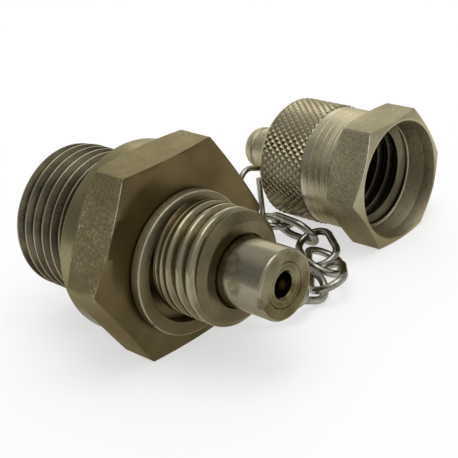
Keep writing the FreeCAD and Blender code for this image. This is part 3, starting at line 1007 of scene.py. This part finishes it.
@dataclass
class ValveNose:
    """The turned nose that stands out of the test thread, its bush with the probe hole and the spring."""

    radius: float = 4.75
    start: float = 10.0
    end: float = 27.6
    rounding: float = 0.42
    back_chamfer: float = 0.3
    chamber_radius: float = 2.6
    bush_radius: float = 3.0
    bush_bore: float = 3.02
    bush_mouth: float = 0.12
    bush_back: float = 22.15
    bush_end: float = 27.5
    bush_edge: float = 0.10
    hole_radius: float = 1.65
    hole_chamfer: float = 0.35
    line_radius: float = 2.42
    line_depth: float = 0.06
    seat_end: float = 25.0
    spring_start: float = 12.02
    spring_wire: float = 0.8
    spring_radius: float = 1.9
    spring_pitch: float = 2.8
    spring_height: float = 8.2
    spring_travel: float = 2.05
    spring_steps: int = 144

    def build(self) -> None:
        """Build and dress the nose, its bush and the spring inside."""
        self.housing()
        self.bush()
        self.spring()

    def housing(self) -> None:
        """The nose with its rounded front edge, rubbed bright and given a painted highlight there."""
        end = self.end
        piece = turned("valve_nose", [
            (self.start, self.chamber_radius),
            (self.start, self.radius - self.back_chamfer),
            (self.start + self.back_chamfer, self.radius),
            (end, self.radius, self.rounding),
            (end, self.bush_bore + self.bush_mouth, 0.05),
            (end - self.bush_mouth, self.bush_bore),
            (self.bush_back, self.bush_bore),
            (self.bush_back, self.chamber_radius),
        ])
        # wear and painted highlight on the front rounding
        foot, rim = end - self.rounding, self.radius - self.rounding
        mark_wear(piece, lambda p: foot < p.x < end - 0.02 and p.yz.length > rim)
        complete(piece, 35.0, ("coupling", "insert_steel", "nose_insert"), NOSE_FINISH)

    def bush(self) -> None:
        """The bush with its chamfered probe hole and the ball's seat behind it."""
        end, hole, line = self.bush_end, self.hole_radius, self.line_radius
        piece = turned("valve_bush", [
            (self.bush_back, self.chamber_radius),
            (self.bush_back, self.bush_radius),
            (end, self.bush_radius, self.bush_edge),
            (end, line + 0.10, 0.03),
            (end - self.line_depth, line + 0.04),
            (end - self.line_depth, line - 0.04),
            (end, line - 0.10, 0.03),
            (end, hole + self.hole_chamfer, 0.05),
            (end - self.hole_chamfer, hole, 0.08),
            (self.seat_end, hole),
        ])
        complete(piece, 35.0, ("coupling", "insert_steel", "seat_bush"), NOSE_FINISH)

    def spring(self) -> None:
        """The coil spring behind the ball."""
        bpy.ops.mesh.primitive_circle_add(vertices=WIRE_SIDES, radius=self.spring_wire / 2 * MM)
        piece = take("spring_coil")
        settle(piece, Matrix.Translation((self.spring_start * MM, self.spring_radius * MM, 0)))
        modify(
            piece, "SCREW", axis="X", angle=math.tau * self.spring_height / self.spring_pitch,
            screw_offset=self.spring_height * MM, steps=self.spring_steps, render_steps=self.spring_steps,
        )
        middle = (self.spring_start + self.spring_height / 2) * MM
        for way in (-1, 1):
            rims, points = open_edges(piece), piece.data.vertices

            def at_end(edge: bpy.types.MeshEdge) -> bool:
                """Whether an edge is on the rim of the coil's end on this side."""
                return edge.index in rims and (points[edge.vertices[0]].co.x - middle) * way > 0

            with editing(piece, Part.EDGES, at_end):
                bpy.ops.mesh.edge_face_add()
        close_up(piece)
        complete(piece, 40.0, ("coupling", "valve_steel", "valve_spring"), VALVE_FINISH)
        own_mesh(piece)


@dataclass
class Tether:
    """The loose ring on the neck and the seven links of the chain."""

    ring_inner: float = 8.0
    ring_outer: float = 9.95
    ring_back: float = 9.7
    ring_front: float = 11.2
    ring_drop: float = -1.45
    # width of the worn rim, which also carries a painted highlight
    ring_wear: float = 0.19
    eye_centre: tuple[float, float, float] = (12.05, 8.30, -9.50)
    eye_axis: tuple[float, float, float] = (0.0, 0.6961, 0.7179)
    eye_radius: float = 1.75
    eye_wire: float = 1.1
    wire: float = 1.15
    bend: float = 2.525
    straight: float = 3.2
    links: tuple[Corner, ...] = (
        (15.11, 10.41, -9.92, -136.7, 3.9, -18.9),
        (16.08, 14.85, -10.25, -102.1, 22.4, -43.0),
        (16.64, 19.68, -11.16, -47.3, 7.2, 19.0),
        (12.97, 23.47, -11.52, -48.7, 8.3, -26.5),
        (8.89, 26.63, -11.83, -33.9, -7.4, 19.1),
        (2.97, 28.29, -10.75, -5.5, 0.0, -59.1),
        (-3.27, 29.74, -11.63, -22.9, 10.6, -11.7),
    )

    def build(self) -> None:
        """Build and dress the ring, its eye and the links."""
        self.ring()
        self.eye()
        pattern = self.link_pattern()
        for number, row in enumerate(self.links, start=1):
            self.lay_link(pattern, number, row)
        bpy.data.objects.remove(pattern)

    def ring(self) -> None:
        """The flat ring with broken edges, hanging on the neck."""
        back, front, inner, outer = self.ring_back, self.ring_front, self.ring_inner, self.ring_outer
        corners = [(back, inner, 0.15), (back, outer, 0.2), (front, outer, 0.2), (front, inner, 0.14)]
        piece = turned("chain_ring_flat", corners, steps=120)
        # wear and painted highlight on the front outer rim
        rim, foot = outer - self.ring_wear, front - self.ring_wear
        mark_wear(piece, lambda p: p.yz.length > rim and foot < p.x < front - 0.01)
        settle(piece, Matrix.Translation((0, 0, self.ring_drop * MM)))
        complete(piece, 40.0, ON_RING, RING_FINISH)

    def eye(self) -> None:
        """The wire eye that is welded to the ring."""
        piece = wire_ring("chain_ring_eye", self.eye_radius, self.eye_wire, 48)
        turn = Vector((0, 0, 1)).rotation_difference(Vector(self.eye_axis)).to_matrix().to_4x4()
        settle(piece, Matrix.Translation(Vector(self.eye_centre) * MM) @ turn)
        complete(piece, SOFT, ON_RING, CHAIN_FINISH)

    def link_pattern(self) -> Piece:
        """Model one link along X.

        Returns:
            The link that the chain's links are copied from.
        """
        pattern = wire_ring("link_pattern", self.bend, self.wire, 54)
        for way in (-1, 1):
            with editing(pattern, Part.POINTS, lambda vertex, way=way: vertex.co.x * way > 0):
                bpy.ops.transform.translate(value=(way * self.straight / 2 * MM, 0, 0))
        return pattern

    def lay_link(self, pattern: Piece, number: int, row: Corner) -> None:
        """Copy the link and lay it in its place.

        Args:
            pattern: the modelled link.
            number: the link's number, from the ring to the cap.
            row: x, y, z of its centre, heading, rise and roll.
        """
        piece = pattern.copy()
        piece.data = pattern.data.copy()
        piece.name = piece.data.name = f"link_{number}_wire"
        bpy.context.scene.collection.objects.link(piece)
        heading, rise, roll = (math.radians(value) for value in row[3:])
        flat = math.cos(rise)
        along = Vector((math.cos(heading) * flat, math.sin(heading) * flat, math.sin(rise)))
        level = Vector((-math.sin(heading), math.cos(heading), 0))
        across = level * math.cos(roll) + along.cross(level) * math.sin(roll)
        axes = Matrix((along, across, along.cross(across))).transposed().to_4x4()
        settle(piece, Matrix.Translation(Vector(row[:3]) * MM) @ axes)
        complete(piece, SOFT, (f"link_{number}", "chain_steel", f"chain_link_{number}"), CHAIN_FINISH)


@dataclass
class ScrewCap:
    """The screw cap: hexagon at the mouth, turned band, grip barrel, threaded bore and knob."""

    thread: ThreadForm = ThreadForm(2.0, 8.05, 6.9, 0.30, 0.20)
    thread_phase: float = 0.4
    face_radius: float = 9.3
    face_chamfer: float = 0.7
    hex_across: float = 19.0
    hex_corner: float = 10.88
    hex_end: float = 5.7
    band_start: float = 6.4
    band_radius: float = 9.2
    band_end: float = 11.8
    # width of the worn band edge, which also carries a painted highlight
    band_wear: float = 0.14
    band_lines: tuple[float, ...] = (6.9, 7.5, 7.9, 8.9, 10.2)
    line_depth: float = 0.026
    foot_depth: float = 0.10
    foot_width: float = 0.18
    grip_radius: float = 9.4
    grip_end: float = 19.8
    barrel_end: float = 20.4
    barrel_end_radius: float = 8.8
    stem_radius: float = 1.7
    stem_end: float = 23.4
    stem_start: float = 18.4
    stem_hole: float = 1.72
    knob_radius: float = 3.4
    knob_end: float = 29.5
    knob_groove: tuple[float, float] = (26.55, 27.2)
    groove_depth: float = 0.22
    knob_dome: float = 2.3
    mouth_radius: float = 8.95
    mouth_depth: float = 1.6
    mouth_cone: float = 2.9
    bore_radius: float = 6.9
    bore_depth: float = 13.0
    well_radius: float = 5.7
    well_depth: float = 17.6
    wall_radius: float = 8.3
    diamonds_round: int = 54
    diamonds_along: int = 6
    diamond_height: float = 0.19
    diamond_side: float = 0.30
    grip_depth: float = 0.6

    def place(self) -> Matrix:
        """The cap's place: its mouth's centre, with X out of the mouth."""
        return Matrix.Translation(Vector(CAP_PLACE) * MM) @ Matrix.Rotation(math.radians(CAP_YAW), 4, "Z")

    def build(self) -> None:
        """Build and dress all pieces of the cap."""
        self.hexagon()
        self.barrel()
        self.grip()
        self.bore_thread()
        self.knob()

    def hexagon(self) -> None:
        """The hexagon with its counterbored mouth."""
        corners = [
            (0.0, self.mouth_radius + 0.1),
            (0.0, self.face_radius),
            (-self.face_chamfer, self.hex_corner),
            (-self.hex_end, self.hex_corner),
            (-self.band_start, self.band_radius),
            (-self.band_start, self.mouth_radius - 0.25),
            (-self.mouth_depth - 0.2, self.mouth_radius - 0.25),
            (-0.1, self.mouth_radius),
        ]
        piece = turned("cap_hexagon", corners, steps=144)
        # slot 2, the inner wall, carries painted light
        dress(piece, CAP_RIM_FINISH, CAP_FLATS_FINISH, CAP_MOUTH_LIT_FINISH)
        mill_flats(piece, self.hex_across)
        ease_flats(piece, self.hex_across, -self.band_start / 2, 0.22, 0.004)
        for face in piece.data.polygons:
            outside = abs(face.normal.x) < 0.3 and face.center.yz.length > self.hex_across * 0.475 * MM
            inside = abs(face.normal.x) < 0.3 and not outside
            face.material_index = 2 if inside else int(outside)
        settle(piece, self.place())
        complete(piece, 9.0, ON_CAP)

    def barrel(self) -> None:
        """The band with its turning lines, the barrel under the grip and its closed end."""
        start, high = -self.band_start, self.band_radius
        foot, low = high - self.foot_depth, high - self.line_depth
        core = self.grip_radius - self.diamond_height - 0.1
        corners = [
            (-self.well_depth, 0.0),
            (-self.well_depth, self.well_radius),
            (-self.bore_depth, self.well_radius, 0.2),
            (-self.bore_depth, self.wall_radius),
            (start + 0.3, self.wall_radius),
            (start + 0.3, foot),
            (start - self.foot_width + 0.06, foot, 0.02),
            (start - self.foot_width, high, 0.02),
        ]
        for x in self.band_lines:
            corners += [(-x, high, 0.02), (-x - 0.10, low, 0.02)]
            corners += [(-x - 0.20, low, 0.02), (-x - 0.30, high, 0.02)]
        corners += [
            (-self.band_end, high, 0.15),
            (-self.band_end - 0.1, core),
            (-self.grip_end + 0.1, core),
            (-self.grip_end, high, 0.1),
            (-self.barrel_end, self.barrel_end_radius, 0.2),
            (-self.barrel_end, self.stem_hole),
            (-self.stem_start + 0.1, self.stem_hole),
            (-self.stem_start + 0.1, 0.0),
        ]
        piece = turned("cap_barrel", corners, closed=False)
        # wear and painted highlight along the band's edge next to the grip
        end, rim = -self.band_end, high - self.band_wear
        mark_wear(piece, lambda p: end < p.x < end + self.band_wear and p.yz.length > rim)
        settle(piece, self.place())
        complete(piece, 35.0, ON_CAP, CAP_FINISH)

    def grip(self) -> None:
        """The band of raised diamonds round the barrel."""
        base = self.grip_radius - self.diamond_height
        length = self.grip_end - self.band_end
        bpy.ops.mesh.primitive_grid_add(
            x_subdivisions=self.diamonds_along, y_subdivisions=self.diamonds_round, size=MM
        )
        piece = take("cap_grip")
        with editing(piece):
            bpy.ops.mesh.poke()
        for vertex in piece.data.vertices:
            angle = (vertex.co.y / MM + 0.5) * math.tau
            x = (vertex.co.x / MM - 0.5) * length - self.band_end
            vertex.co = Vector((x, base * math.cos(angle), base * math.sin(angle))) * MM
        close_up(piece)
        ends = (-self.band_end * MM, -self.grip_end * MM)
        near = 0.01 * MM

        def follows_grid(edge: bpy.types.MeshEdge) -> bool:
            """Say whether an edge runs straight round or along the barrel, between the ends.

            Args:
                edge: an edge of the grip.

            Returns:
                True if it does.
            """
            first, last = (piece.data.vertices[index].co for index in edge.vertices)
            along = (first - last).yz.length < near
            round_it = abs(first.x - last.x) < near
            return along or (round_it and min(abs(first.x - end) for end in ends) > near)

        with editing(piece, Part.EDGES, follows_grid):
            bpy.ops.mesh.dissolve_edges(use_verts=False)
        with editing(piece, Part.FACES):
            bpy.ops.mesh.normals_make_consistent(inside=False)
            bpy.ops.mesh.inset(
                use_individual=True, thickness=self.diamond_side * MM, depth=self.diamond_height * MM
            )
        rims = open_edges(piece)
        shrink = (base - self.grip_depth) / base
        with editing(piece, Part.EDGES, lambda edge: edge.index in rims):
            bpy.ops.mesh.extrude_edges_move(TRANSFORM_OT_translate={"value": (0, 0, 0)})
            bpy.ops.transform.resize(value=(1, shrink, shrink), center_override=(0, 0, 0))
            bpy.ops.mesh.bridge_edge_loops()
        close_up(piece)
        settle(piece, self.place())
        complete(piece, 0.0, ON_CAP, GRIP_FINISH)

    def bore_thread(self) -> None:
        """The threaded wall of the bore."""
        start, mouth = -self.bore_depth, -self.mouth_depth
        foot, front = mouth - self.mouth_cone, mouth - 0.1
        wall, rim = self.wall_radius + 0.3, self.mouth_radius - 0.05
        piece = turned("cap_bore", [
            (start, self.bore_radius),
            (start, wall),
            (-self.band_start + 0.2, wall),
            (-self.band_start + 0.4, rim),
            (front, rim),
            (front, self.mouth_radius - 0.23),
            (foot + 0.1, self.mouth_radius - 0.70, 0.25),
            (foot - 1.0, self.bore_radius),
        ])
        # painted shade on the thread and the foot cone, painted light on the mouth wall
        dress(piece, CAP_THREAD_SHADE_FINISH, CAP_FOOT_SHADE_FINISH, CAP_MOUTH_LIT_FINISH)
        for face in piece.data.polygons:
            x = face.center.x / MM
            face.material_index = int(x > foot - 0.95) + int(x > foot + 0.05)
        work(piece, self.thread.solid("bore_turns", start + 0.8, 1.0, self.thread_phase), Cut.TAKE_AWAY)
        close_up(piece)
        settle(piece, self.place())
        complete(piece, 28.0, ON_CAP)

    def knob(self) -> None:
        """The domed knob with its groove, on the stem that the wire loop hangs on."""
        near, far = self.knob_groove
        high, low = self.knob_radius, self.knob_radius - self.groove_depth
        corners = [
            (-self.stem_start, 0.0),
            (-self.stem_start, self.stem_radius),
            (-self.stem_end, self.stem_radius, 0.15),
            (-self.stem_end - 0.2, high, 0.3),
            (-near, high, 0.15),
            (-near - 0.2, low, 0.1),
            (-far + 0.2, low, 0.1),
            (-far, high, 0.15),
            (-self.knob_end, high, self.knob_dome),
            (-self.knob_end, 0.0),
        ]
        piece = turned("cap_knob_dome", corners, closed=False, arc=8)
        settle(piece, self.place())
        complete(piece, 35.0, ("cap", "cap_plating", "cap_knob"), CAP_FINISH)


@dataclass
class KeptSolids:
    """The solids whose shape is right and that only get a finish."""

    finishes: dict[str, Finish] = field(
        default_factory=lambda: {
            "port_seal_ring": SEAL_FINISH,
            "insert_seal_ring": SEAL_FINISH,
            "cap_seal": SEAL_FINISH,
            "valve_ball": VALVE_FINISH,
            "spring_retainer": VALVE_FINISH,
            "cap_loop": CHAIN_FINISH,
        }
    )

    def build(self, nodes: dict[str, Piece]) -> None:
        """Give the solids their finishes.

        Args:
            nodes: the frame's solids by name.
        """
        for name, finish in self.finishes.items():
            dress(nodes[name], finish)
            LOG.info("%s: kept", name)


@dataclass
class Studio:
    """Pale floor, soft light and the camera of the photograph."""

    azimuth: float = 47.02
    elevation: float = 25.82
    roll: float = -7.46
    position: tuple[float, float, float] = (124.84, -98.87, 75.75)
    focal_pixels: float = 1278.4
    image_pixels: int = 458
    sensor: float = 36.0
    floor_size: float = 3.0
    floor_tone: Tone = (0.92, 0.92, 0.92)
    floor_glow: float = 0.6
    room_level: float = 0.62
    panels: tuple[tuple[Tone, float, float, float], ...] = (
        ((-0.62, 0.68, 0.40), 0.85, 0.55, 0.98),
        ((-0.66, -0.62, 0.43), 0.30, 0.80, 0.99),
        ((0.30, 0.0, 0.95), 1.3, 0.70, 0.98),
    )
    lamps: tuple[tuple[str, Tone, Tone, float, float], ...] = (
        ("top_lamp", (0.08, 0.02, 0.60), (0.0, 0.01, 0.0), 0.40, 1.10),
        ("side_lamp", (-0.30, 0.40, 0.25), (0.0, 0.0, 0.0), 0.30, 0.25),
    )

    def build(self) -> None:
        """Set up the floor, the light and the camera."""
        self.lay_floor()
        self.make_sky()
        self.hang_lamps()
        self.set_camera()
        bpy.context.scene.view_settings.view_transform = "Standard"
        LOG.info("studio: floor, sky, %d lamps and camera", len(self.lamps))

    def lay_floor(self) -> None:
        """The pale floor, white to the camera and in reflections but for the shadow on it."""
        bpy.ops.mesh.primitive_plane_add(size=self.floor_size, location=(0, 0, (TABLE_HEIGHT - FLOOR_GAP) * MM))
        plane = take("floor")
        material = bpy.data.materials.new("pale_floor")
        bench, surface = new_tree(material)
        matt = bench.add("BsdfDiffuse", Color=(*self.floor_tone, 1.0))
        glow = bench.add("Emission", Color=(*WHITE, 1.0), Strength=1.0)
        path = bench.add("LightPath").outputs
        seen = bench.math("MAXIMUM", path["Is Camera Ray"], path["Is Glossy Ray"])
        seen = bench.math("MAXIMUM", seen, path["Is Transmission Ray"])
        share = bench.math("MULTIPLY", seen, self.floor_glow)
        mix = bench.add("MixShader", share, matt.outputs[0], glow.outputs[0])
        bench.feed(surface, mix.outputs[0])
        plane.data.materials.append(material)

    def make_sky(self) -> None:
        """The studio's surroundings: white to the camera, a grey room with panels to the object."""
        world = bpy.data.worlds.new("studio")
        bpy.context.scene.world = world
        bench, surface = new_tree(world)
        outwards = bench.add("TexCoord").outputs["Generated"]
        room: Tone | Socket = (self.room_level,) * 3
        for side, level, low, high in self.panels:
            facing = bench.add("VectorMath", outwards, Vector(side).normalized(), operation="DOT_PRODUCT")
            room = bench.blend(bench.ramp(facing.outputs["Value"], low, high), room, (level,) * 3)
        seen = bench.add("LightPath").outputs["Is Camera Ray"]
        sky = bench.add("Background", Color=bench.blend(seen, room, WHITE), Strength=1.0)
        bench.feed(surface, sky.outputs[0])

    def hang_lamps(self) -> None:
        """Soft lamps: a large one above, and a weaker one from behind on the right."""
        for name, place, aim, size, power in self.lamps:
            lamp = bpy.data.lights.new(name, "AREA")
            lamp.shape = "SQUARE"
            lamp.size = size
            lamp.energy = power
            holder = bpy.data.objects.new(name, lamp)
            holder.location = place
            holder.rotation_euler = (Vector(place) - Vector(aim)).to_track_quat("Z", "Y").to_euler()
            bpy.context.scene.collection.objects.link(holder)

    def set_camera(self) -> None:
        """The camera at the photograph's place."""
        azimuth, elevation, roll = (math.radians(v) for v in (self.azimuth, self.elevation, self.roll))
        flat = math.cos(elevation)
        back = Vector((math.sin(azimuth) * flat, -math.cos(azimuth) * flat, math.sin(elevation)))
        level = Vector((math.cos(azimuth), math.sin(azimuth), 0))
        upright = back.cross(level)
        right = level * math.cos(roll) + upright * math.sin(roll)
        up = upright * math.cos(roll) - level * math.sin(roll)
        lens = bpy.data.cameras.new("camera")
        lens.sensor_width = self.sensor
        lens.lens = self.focal_pixels * self.sensor / self.image_pixels
        lens.clip_start = 0.01
        lens.clip_end = 10.0
        holder = bpy.data.objects.new("camera", lens)
        axes = Matrix((right, up, back)).transposed().to_4x4()
        holder.matrix_world = Matrix.Translation(Vector(self.position) * MM) @ axes
        bpy.context.scene.collection.objects.link(holder)
        bpy.context.scene.camera = holder


def main() -> None:
    """Build the coupling over its frame, and the studio round it."""
    logging.basicConfig(level=logging.INFO, format="%(message)s")
    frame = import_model()
    CouplingBody().build()
    ValveNose().build()
    Tether().build()
    ScrewCap().build()
    KeptSolids().build(frame["nodes"])
    Studio().build()


if __name__ == "__main__":
    main()
